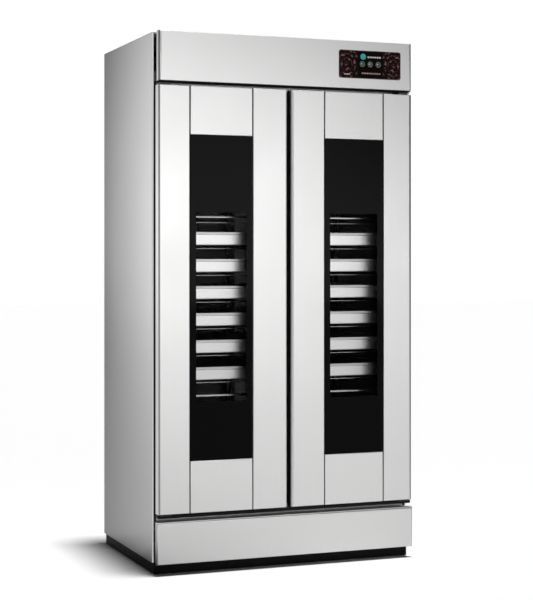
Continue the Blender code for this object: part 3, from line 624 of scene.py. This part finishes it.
def weigh_edges(piece, axis, value, weight, other_axis, other_value):
    """Gives the edges where two planes meet a bevel weight."""
    choose(piece, "EDGE", lambda e: all(
        abs(p[axis] - value) < 1e-6 and abs(p[other_axis] - other_value) < 1e-6 for p in edge_ends(piece, e)))
    bpy.ops.transform.edge_bevelweight(value=weight)
    done(piece)


def apply(piece, kind, **values):
    """Adds a modifier with these values and applies it."""
    only(piece)
    modifier = piece.modifiers.new(kind.lower(), kind)
    for name, value in values.items():
        setattr(modifier, name, value)
    bpy.ops.object.modifier_apply(modifier=modifier.name)
    return piece


def smooth(piece, angle=35):
    """Smooth shading that keeps flat faces flat, because the largest faces lead at each corner."""
    only(piece)
    bpy.ops.object.shade_smooth_by_angle(angle=math.radians(angle))
    return apply(piece, "WEIGHTED_NORMAL", keep_sharp=True, weight=100)


def keep(piece, body, finish, *replaced, slot=None):
    """The last step of every piece: its finish, what it rides on, and what it stands for."""
    if piece.data.materials:
        piece.data.materials[0] = finishes[finish]
    else:
        piece.data.materials.append(finishes[finish])
    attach(piece, body)
    if replaced:
        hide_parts(*replaced)
    return piece


# %% [markdown]
# ## Folded pans
# The doors, the header and the plinth are pans: a flat front whose four sides are folded back. A cube
# loses its back face, its front edges are rounded, and Solidify gives it the sheet's thickness. The
# door's outer edge has a wide radius and the others a tight one, so each edge carries a bevel weight, and
# one Bevel modifier does all of them with clean corners.

# %% Pans
SHEET = 0.0015
WIDE, TIGHT = 0.0100, 0.0028


def pan(name, low, high, radii):
    """A folded pan. radii are for its left, right, bottom and top front edges."""
    piece = block(name, low, high)
    choose(piece, "FACE", lambda f: f.normal.y > 0.9)
    bpy.ops.mesh.delete(type="FACE")
    done(piece)
    planes = ((0, low[0]), (0, high[0]), (2, low[2]), (2, high[2]))
    for (axis, value), radius in zip(planes, radii):
        weigh_edges(piece, axis, value, radius / WIDE, 1, low[1])
    apply(piece, "BEVEL", width=WIDE, segments=5, limit_method="WEIGHT")
    return apply(piece, "SOLIDIFY", thickness=SHEET, offset=-1)


pans = 0
for prefix in ("left", "right"):
    outer_first = (WIDE, TIGHT) if prefix == "left" else (TIGHT, WIDE)
    for word, radii in (("hinge_stile", (*outer_first, TIGHT, TIGHT)), ("top_rail", (TIGHT,) * 4),
                        ("bottom_rail", (TIGHT,) * 4)):
        node = f"{prefix}_{word}"
        low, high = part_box(node)
        keep(smooth(pan(f"{node}_sheet", low, high, radii)), f"{prefix}_door", "brushed_steel", node)
        pans += 1
print("folded", pans, "door pans")

# %% [markdown]
# ## The pull stiles
# There are no handles. Each door is opened by its free edge: a groove runs down it, deep enough for
# fingertips, behind a rounded nose. The stile is a block whose groove is cut by a second block with a
# Boolean. The groove gets a black lining that paints the shade in it, and the nose is rounded and worn
# dull by hands.

# %% Pull stiles
GROOVE_DEPTH = 0.014
GROOVE_FRONT, GROOVE_BACK = DOOR_FACE + 0.012, DOOR_FACE + 0.028


def pull_stile(prefix, side):
    """The stile at a door's free edge, with its groove and its rounded nose."""
    node = f"{prefix}_pull_stile"
    low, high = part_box(node)
    piece = block(f"{node}_sheet", low, high)
    edge = low.x if side > 0 else high.x
    inwards = edge + side * GROOVE_DEPTH
    outwards = edge - side * 0.01
    cutter = block("groove_cutter", (min(inwards, outwards), GROOVE_FRONT, low.z - 0.01),
                   (max(inwards, outwards), GROOVE_BACK, high.z + 0.01))
    apply(cutter, "BEVEL", width=0.003, segments=3, limit_method="ANGLE")
    apply(piece, "BOOLEAN", operation="DIFFERENCE", object=cutter, solver="EXACT")
    bpy.data.objects.remove(cutter)
    for finish in ("brushed_steel", "rubber", "nose_steel"):
        piece.data.materials.append(finishes[finish])
    # The groove's black rubber is painted shade in the recess.
    for face in piece.data.polygons:
        if face.center.y > GROOVE_FRONT - 0.001 and abs(face.center.x - edge) < GROOVE_DEPTH + 0.001:
            face.material_index = 1
    weigh_edges(piece, 0, edge, 1.0 if side > 0 else 0.5, 1, low.y)
    weigh_edges(piece, 0, low.x + high.x - edge, TIGHT / WIDE, 1, low.y)
    for level in (low.z, high.z):
        weigh_edges(piece, 2, level, TIGHT / WIDE, 1, low.y)
    apply(piece, "BEVEL", width=WIDE, segments=6, limit_method="WEIGHT", material=2)
    keep(smooth(piece), f"{prefix}_door", "brushed_steel", node)


pull_stile("left", -1)
pull_stile("right", 1)

# %% [markdown]
# ## Header and plinth
# Each is a pan with a narrower neck behind it, which stands on the cabinet's body. The neck is in shadow,
# and its black is painted shade that deepens it, so the pan seems to float a finger's breadth in front of
# the side panels. The header has three round holes, because its buttons move inwards. It is shaded smooth
# only once they are cut.

# %% Header and plinth
NECK = 0.008
SIDE_FRONT = side_low.y
BUTTON_NAMES = ("power_button", "heat_button", "steam_button")
RING_RADIUS, CAP_RADIUS = 0.0105, 0.0083
HOLE_RADIUS, HOLE_DEPTH = RING_RADIUS + 0.0003, 0.008


def drill(piece, name):
    """Cuts the round hole that a button moves in."""
    low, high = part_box(name)
    clear_selection()
    bpy.ops.mesh.primitive_cylinder_add(vertices=48, radius=HOLE_RADIUS, depth=2 * HOLE_DEPTH,
                                        location=((low.x + high.x) / 2, low.y, (low.z + high.z) / 2),
                                        rotation=(math.pi / 2, 0, 0))
    cutter = bpy.context.object
    apply(piece, "BOOLEAN", operation="DIFFERENCE", object=cutter, solver="EXACT")
    bpy.data.objects.remove(cutter)


def fronted(node, depth, radii, title, buttons=()):
    """A pan of this depth, and the neck between it and the cabinet's body."""
    low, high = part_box(node)
    front = pan(title, low, (high.x, low.y + depth, high.z), radii)
    for name in buttons:
        drill(front, name)
    keep(smooth(front), "cabinet", "brushed_steel", node)
    neck = block(f"{title}_neck", (low.x + NECK, low.y + depth - 0.004, low.z + NECK),
                 (high.x - NECK, SIDE_FRONT - 0.0003, high.z - NECK))
    apply(neck, "BEVEL", width=0.0015, segments=2, limit_method="ANGLE")
    # The neck's black finish is painted shade.
    keep(smooth(neck), "cabinet", "black_steel", slot="brushed_steel")


fronted("header_panel", 0.026, (WIDE, WIDE, TIGHT, TIGHT), "header_front", BUTTON_NAMES)
fronted("plinth_panel", 0.014, (0.006, 0.006, TIGHT, WIDE), "plinth_front")

# %% [markdown]
# ## Draught seals
# Steam must not creep out round the doors, so a soft black strip hangs in the gap above them and another
# stands in the gap below. Each is a block whose front face is drawn out to a narrow lip and then rounded.
# An upright strip on each side closes the gap between a door's outer edge and the side panel. The seals are
# real, and their black also paints the shade in these gaps.

# %% Draught seals
HEADER_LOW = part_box("header_panel")[0].z
SEAL_FRONT, SEAL_BACK = DOOR_FACE + 0.010, DOOR_FACE + 0.034


def seal(name, half_length, low_z, high_z, lip):
    """A strip across the front. lip says how far up its front lip is moved."""
    piece = block(name, (-half_length, SEAL_FRONT, low_z), (half_length, SEAL_BACK, high_z))
    choose(piece, "FACE", lambda f: f.normal.y < -0.9)
    bpy.ops.mesh.extrude_region_move(TRANSFORM_OT_translate={"value": (0, -0.004, 0)})
    bpy.ops.transform.resize(value=(1, 1, 0.45))
    bpy.ops.transform.translate(value=(0, 0, lip))
    done(piece)
    apply(piece, "BEVEL", width=0.001, segments=3, limit_method="ANGLE")
    return keep(smooth(piece), "cabinet", "rubber")


SEAL_LENGTH = 0.492  # from the middle
# Besides sealing, the strips' black paints the shade in the gaps round the doors.
seal("header_seal", SEAL_LENGTH, HEADER_LOW - 0.0045, HEADER_LOW - 0.0002, -0.0010)
seal("plinth_seal", SEAL_LENGTH, DOOR_LOW.z - 0.0145, DOOR_LOW.z - 0.0022, 0.002)

STRIP_INNER, STRIP_OUTER = 0.4872, 0.4924
for prefix, side in (("left", -1), ("right", 1)):
    left, right = sorted((side * STRIP_INNER, side * STRIP_OUTER))
    strip = block(f"{prefix}_corner_seal", (left, SIDE_FRONT - 0.006, DOOR_LOW.z - 0.030),
                  (right, SIDE_FRONT + 0.0008, HEADER_LOW + 0.004))
    apply(strip, "BEVEL", width=0.0012, segments=3, limit_method="ANGLE")
    keep(smooth(strip), "cabinet", "rubber")

# %% [markdown]
# ## Edge trims
# A pale snap-on strip covers the raw front edge of each side panel. It is a thin block whose long edges
# are rounded. Its pale, glowing colour is a painted highlight, and it shows from the front as a fine light
# line.

# %% Edge trims, with a painted highlight
TRIM_WIDTH, TRIM_THICKNESS = 0.0052, 0.0014
for prefix in ("left", "right"):
    low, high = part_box(f"{prefix}_side_panel")
    outer = low.x + 0.0001 if prefix == "left" else high.x - 0.0001
    inner = outer + TRIM_WIDTH if prefix == "left" else outer - TRIM_WIDTH
    trim = block(f"{prefix}_edge_trim", (min(outer, inner), SIDE_FRONT - TRIM_THICKNESS, low.z + 0.001),
                 (max(outer, inner), SIDE_FRONT - 0.0001, high.z - 0.001))
    apply(trim, "BEVEL", width=0.0005, segments=3, limit_method="ANGLE")
    keep(smooth(trim), "cabinet", "painted_highlight_trim", slot="brushed_steel")

# %% [markdown]
# ## Trays
# A baking tray is pressed from one sheet: a flat bottom, sides that lean out, round corners, and a rim
# that is rolled over a wire. One tray is modelled and twelve copies are made of it, each with its own
# mesh. It starts as a cube. Its bottom is drawn in, its corners are rounded, its top is opened, and the
# open edge is extruded outwards and then down to make the rim. Solidify gives the sheet its thickness,
# and its inner side a second, much darker finish. The rim takes the outer finish all over, with its painted
# shade.

# %% One tray
RIM = 0.006
RIM_DROP, RIM_TUCK = 0.0070, 0.0040
LEAN = 0.0006
TRAY_SKIN = 0.0011


def first_tray(node):
    """The tray that the others are copied from, in the place of one of the frame's trays."""
    low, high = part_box(node)
    size = high - low
    inset = Vector((RIM, RIM, 0))
    piece = block(f"{node}_pressed", low + inset, high - inset)
    choose(piece, "FACE", lambda f: f.normal.z < -0.9)
    inner = Vector((size.x - 2 * RIM, size.y - 2 * RIM, 1))
    bpy.ops.transform.resize(value=(1 - 2 * LEAN / inner.x, 1 - 2 * LEAN / inner.y, 1))
    done(piece)
    choose(piece, "EDGE", lambda e: abs(edge_ends(piece, e)[0].z - edge_ends(piece, e)[1].z) > size.z / 2)
    bpy.ops.mesh.bevel(offset=0.016, segments=6, affect="EDGES")
    done(piece)
    choose(piece, "FACE", lambda f: f.normal.z < -0.9)
    bpy.ops.mesh.region_to_loop()
    bpy.ops.mesh.bevel(offset=0.005, segments=4, affect="EDGES")
    done(piece)
    choose(piece, "FACE", lambda f: f.normal.z > 0.9)
    bpy.ops.mesh.delete(type="ONLY_FACE")
    done(piece)
    choose(piece, "EDGE", lambda e: all(abs(p.z - high.z) < 1e-6 for p in edge_ends(piece, e)))
    tuck = ((size.x - 2 * RIM_TUCK) / size.x, (size.y - 2 * RIM_TUCK) / size.y)
    steps = [(size.x / inner.x, size.y / inner.y, 0.0), (1.0, 1.0, -RIM_DROP), (*tuck, -RIM_TUCK * 0.5)]
    for across_x, across_y, drop in steps:
        bpy.ops.mesh.extrude_edges_move(TRANSFORM_OT_translate={"value": (0, 0, drop)})
        bpy.ops.transform.resize(value=(across_x, across_y, 1))
    bpy.ops.mesh.select_all(action="SELECT")
    bpy.ops.mesh.normals_make_consistent(inside=True)
    done(piece)
    piece.data.materials.append(finishes["tray_aluminium"])
    piece.data.materials.append(finishes["tray_inside"])
    apply(piece, "SOLIDIFY", thickness=TRAY_SKIN, offset=-1, material_offset=1)
    for face in piece.data.polygons:
        from_edges = [min(face.center[axis] - low[axis], high[axis] - face.center[axis]) for axis in (0, 1)]
        if min(from_edges) < RIM - TRAY_SKIN:
            face.material_index = 0
    apply(piece, "BEVEL", width=0.0004, segments=2, limit_method="ANGLE", angle_limit=math.radians(50))
    return smooth(piece, 40)


pattern = first_tray("left_tray_1")
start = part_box("left_tray_1")[0]

# %% Twelve copies
for prefix in ("left", "right"):
    for number in range(1, 7):
        node = f"{prefix}_tray_{number}"
        only(pattern)
        bpy.ops.object.duplicate()
        copy = bpy.context.object
        copy.name = f"{node}_pressed"
        bpy.ops.transform.translate(value=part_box(node)[0] - start)
        bpy.ops.object.transform_apply(location=True)
        keep(copy, "cabinet", "tray_aluminium", node)
bpy.data.objects.remove(pattern)
print("twelve trays of", len(copy.data.polygons), "faces")

# %% [markdown]
# ## Tie rods
# Above and below the trays a polished rod ties the rack's two sides together. Each is a cylinder whose
# ends are rounded with a bevel. It sleeves the flat bar that stands for it in the frame. Thinner wires
# run across under the upper rod and under each tray, and keep the ledges from spreading.

# %% Tie rods
ROD_RADIUS = 0.0050
ROD_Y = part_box("left_outer_rack")[0].y + 0.002
UPPER_ROD, UPPER_WIRE, LOWER_ROD = 1.26825, 1.2480, 0.62125
ROD_LENGTH, BAY_MIDDLE = 0.425, 0.2345
WIRE_RADIUS, WIRE_DROP, WIRE_SETBACK = 0.0015, 0.0115, 0.01


def cross_rod(name, side, depth, level, radius):
    """A round-ended rod between the two sides of one bay's rack."""
    clear_selection()
    bpy.ops.mesh.primitive_cylinder_add(vertices=24, radius=radius, depth=ROD_LENGTH,
                                        location=(side * BAY_MIDDLE, depth, level),
                                        rotation=(0, math.pi / 2, 0))
    rod = bpy.context.object
    rod.name = name
    bpy.ops.object.transform_apply(location=True, rotation=True, scale=True)
    choose(rod, "FACE", lambda f: abs(f.normal.x) > 0.9)
    bpy.ops.mesh.region_to_loop()
    bpy.ops.mesh.bevel(offset=radius * 0.7, segments=4, affect="EDGES")
    done(rod)
    return keep(smooth(rod, 50), "cabinet", "polished_steel", slot="liner_steel")


for prefix, side in (("left", -1), ("right", 1)):
    cross_rod(f"{prefix}_upper_tie_rod", side, ROD_Y, UPPER_ROD, ROD_RADIUS)
    cross_rod(f"{prefix}_lower_tie_rod", side, ROD_Y, LOWER_ROD, ROD_RADIUS)
    cross_rod(f"{prefix}_upper_wire", side, ROD_Y + WIRE_SETBACK, UPPER_WIRE, WIRE_RADIUS)
    for number in range(1, 7):
        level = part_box(f"{prefix}_tray_{number}")[0].z - WIRE_DROP
        cross_rod(f"{prefix}_ledge_wire_{number}", side, ROD_Y + WIRE_SETBACK, level, WIRE_RADIUS)

# %% [markdown]
# ## Controls
# The face plate is a thin glossy sheet in a dark moulded bezel. On it are a round teal indicator with a
# row of plain white bars beside it, and small marks that say nothing. Three round buttons in satin rings
# stand in holes in it. The rings are turned: a small cross-section is drawn once and spun round the
# button's axis.

# %% Colours of the controls
finishes["teal_lens"] = smudged("teal_lens", (0.03, 0.42, 0.42), 0.12, size=300, amount=0.05,
                                Emission_Color=(0.03, 0.42, 0.42, 1), Emission_Strength=0.25)
finishes["white_ink"] = smudged("white_ink", (0.90, 0.90, 0.90), 0.4, size=300, amount=0.1)
finishes["rose_ink"] = smudged("rose_ink", (0.62, 0.36, 0.30), 0.4, size=300, amount=0.1)
finishes["dark_cap"] = smudged("dark_cap", (0.09, 0.13, 0.11), 0.18, size=300, amount=0.08)
finishes["bezel_grey"] = smudged("bezel_grey", (0.06, 0.06, 0.06), 0.45, size=300, amount=0.1)

# %% Face plate and bezel
PLATE_FRONT = plate_low.y
plate = block("face_plate", plate_low, plate_high)
choose(plate, "EDGE", lambda e: abs(edge_ends(plate, e)[0].y - edge_ends(plate, e)[1].y) > 0.001)
bpy.ops.mesh.bevel(offset=0.006, segments=6, affect="EDGES")
done(plate)
choose(plate, "FACE", lambda f: f.normal.y < -0.9)
bpy.ops.mesh.inset(thickness=0.0030)
bpy.ops.transform.translate(value=(0, 0.0008, 0))
done(plate)
choose(plate, "EDGE", lambda e: all(abs(p.y - PLATE_FRONT) < 1e-6 for p in edge_ends(plate, e)))
bpy.ops.mesh.bevel(offset=0.0005, segments=2, affect="EDGES")
done(plate)
for name in BUTTON_NAMES:
    drill(plate, name)
smooth(plate)
keep(plate, "cabinet", "panel_print", "control_panel")


def ring(name, centre, outer, inner, back, front, finish, body, *replaced, slot=None):
    """A turned ring about Y: a small rectangle, rounded, and spun round the axis."""
    clear_selection()
    bpy.ops.mesh.primitive_plane_add(size=1, location=(0, 0, 0), rotation=(0, 0, 0))
    piece = bpy.context.object
    piece.name = name
    bpy.ops.transform.resize(value=(outer - inner, back - front, 1))
    bpy.ops.object.transform_apply(location=True, rotation=True, scale=True)
    choose(piece, "EDGE", lambda e: True)
    bpy.ops.mesh.bevel(offset=min(outer - inner, back - front) * 0.28, segments=3, affect="VERTICES")
    bpy.ops.transform.translate(value=((outer + inner) / 2, (back + front) / 2, 0))
    bpy.ops.mesh.select_all(action="SELECT")
    bpy.ops.mesh.spin(steps=48, angle=math.tau, center=(0, 0, 0), axis=(0, 1, 0))
    bpy.ops.mesh.select_all(action="SELECT")
    bpy.ops.mesh.remove_doubles(threshold=0.000001)
    bpy.ops.mesh.delete_loose()
    bpy.ops.mesh.select_all(action="SELECT")
    bpy.ops.mesh.normals_make_consistent(inside=False)
    bpy.ops.transform.translate(value=centre)
    done(piece)
    return keep(smooth(piece, 50), body, finish, *replaced, slot=slot)


def disc(name, centre, radius, back, front, finish, body, *replaced, crown=0.0, slot=None):
    """A round cap about Y, with a rounded front edge and, if asked, a crowned face."""
    clear_selection()
    bpy.ops.mesh.primitive_cylinder_add(vertices=48, radius=radius, depth=back - front,
                                        location=(centre[0], (back + front) / 2, centre[2]),
                                        rotation=(math.pi / 2, 0, 0))
    piece = bpy.context.object
    piece.name = name
    bpy.ops.object.transform_apply(location=True, rotation=True, scale=True)
    choose(piece, "EDGE", lambda e: all(abs(p.y - front) < 1e-6 for p in edge_ends(piece, e)))
    bpy.ops.mesh.bevel(offset=min(0.0006, (back - front) * 0.4), segments=3, affect="EDGES")
    done(piece)
    if crown:
        choose(piece, "FACE", lambda f: f.normal.y < -0.95)
        for _ in range(3):
            bpy.ops.mesh.inset(thickness=radius * 0.28)
            bpy.ops.transform.translate(value=(0, -crown / 3, 0))
        done(piece)
    return keep(smooth(piece, 50), body, finish, *replaced, slot=slot)


# %% Indicator, bars and marks
PRINT_FACE = PLATE_FRONT + 0.0008
INDICATOR_X, INDICATOR_LEVEL = 0.2945, 1.8625
disc("indicator_lens", (INDICATOR_X, 0, INDICATOR_LEVEL), 0.0112, PRINT_FACE + 0.0004, PRINT_FACE - 0.0006,
     "teal_lens", "cabinet", slot="panel_print")


def bar(name, x, level, length, height, finish):
    """A flat printed bar with round ends."""
    piece = block(name, (x, PRINT_FACE - 0.0002, level - height / 2),
                  (x + length, PRINT_FACE + 0.0003, level + height / 2))
    choose(piece, "EDGE", lambda e: abs(edge_ends(piece, e)[0].y - edge_ends(piece, e)[1].y) > 0.0003)
    bpy.ops.mesh.bevel(offset=height * 0.49, segments=4, affect="EDGES")
    done(piece)
    return keep(smooth(piece), "cabinet", finish, slot="panel_print")


for number in range(6):
    bar(f"name_bar_{number + 1}", 0.3120 + number * 0.0093, 1.8615, 0.0082, 0.0062, "white_ink")
for number in range(8):
    bar(f"mark_{number + 1}", 0.2880 + number * 0.0098, 1.8015, 0.0085, 0.0058, "rose_ink")
for number in range(3):
    bar(f"corner_mark_{number + 1}", 0.2175 + number * 0.0085, 1.7960, 0.0068, 0.0042, "white_ink")

# %% Buttons
for name in BUTTON_NAMES:
    low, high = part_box(name)
    middle = Vector(((low.x + high.x) / 2, 0, (low.z + high.z) / 2))
    back = PRINT_FACE + 0.0012
    ring(f"{name}_ring", middle, RING_RADIUS, CAP_RADIUS + 0.0001, back, low.y + 0.0002, "buttons",
         name, name)
    disc(f"{name}_cap", middle, CAP_RADIUS, back, low.y + 0.0005, "dark_cap", name, slot="buttons")
    disc(f"{name}_glyph", (middle.x - 0.0036, 0, middle.z + 0.0008), 0.0024, low.y + 0.0009, low.y + 0.0002,
         "white_ink", name, slot="buttons")

# %% Bezel
BEZEL = 0.0026
around = Vector((BEZEL, 0, BEZEL))
bezel = block("face_plate_bezel", plate_low - around, plate_high + around)
choose(bezel, "EDGE", lambda e: abs(edge_ends(bezel, e)[0].y - edge_ends(bezel, e)[1].y) > 0.001)
bpy.ops.mesh.bevel(offset=0.0082, segments=8, affect="EDGES")
done(bezel)
hole = block("hole", plate_low - Vector((0.0002, 0.01, 0.0002)), plate_high + Vector((0.0002, 0.01, 0.0002)))
choose(hole, "EDGE", lambda e: abs(edge_ends(hole, e)[0].y - edge_ends(hole, e)[1].y) > 0.001)
bpy.ops.mesh.bevel(offset=0.006, segments=6, affect="EDGES")
done(hole)
apply(bezel, "BOOLEAN", operation="DIFFERENCE", object=hole, solver="EXACT")
bpy.data.objects.remove(hole)
apply(bezel, "BEVEL", width=0.0007, segments=3, limit_method="ANGLE", angle_limit=math.radians(60))
keep(smooth(bezel, 50), "cabinet", "bezel_grey", slot="panel_print")

# %% [markdown]
# ## The last lines
# The size of the finished model is printed.

# %% Sizes, and the end
low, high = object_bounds()
print("finished model", [round(v, 4) for v in high - low])
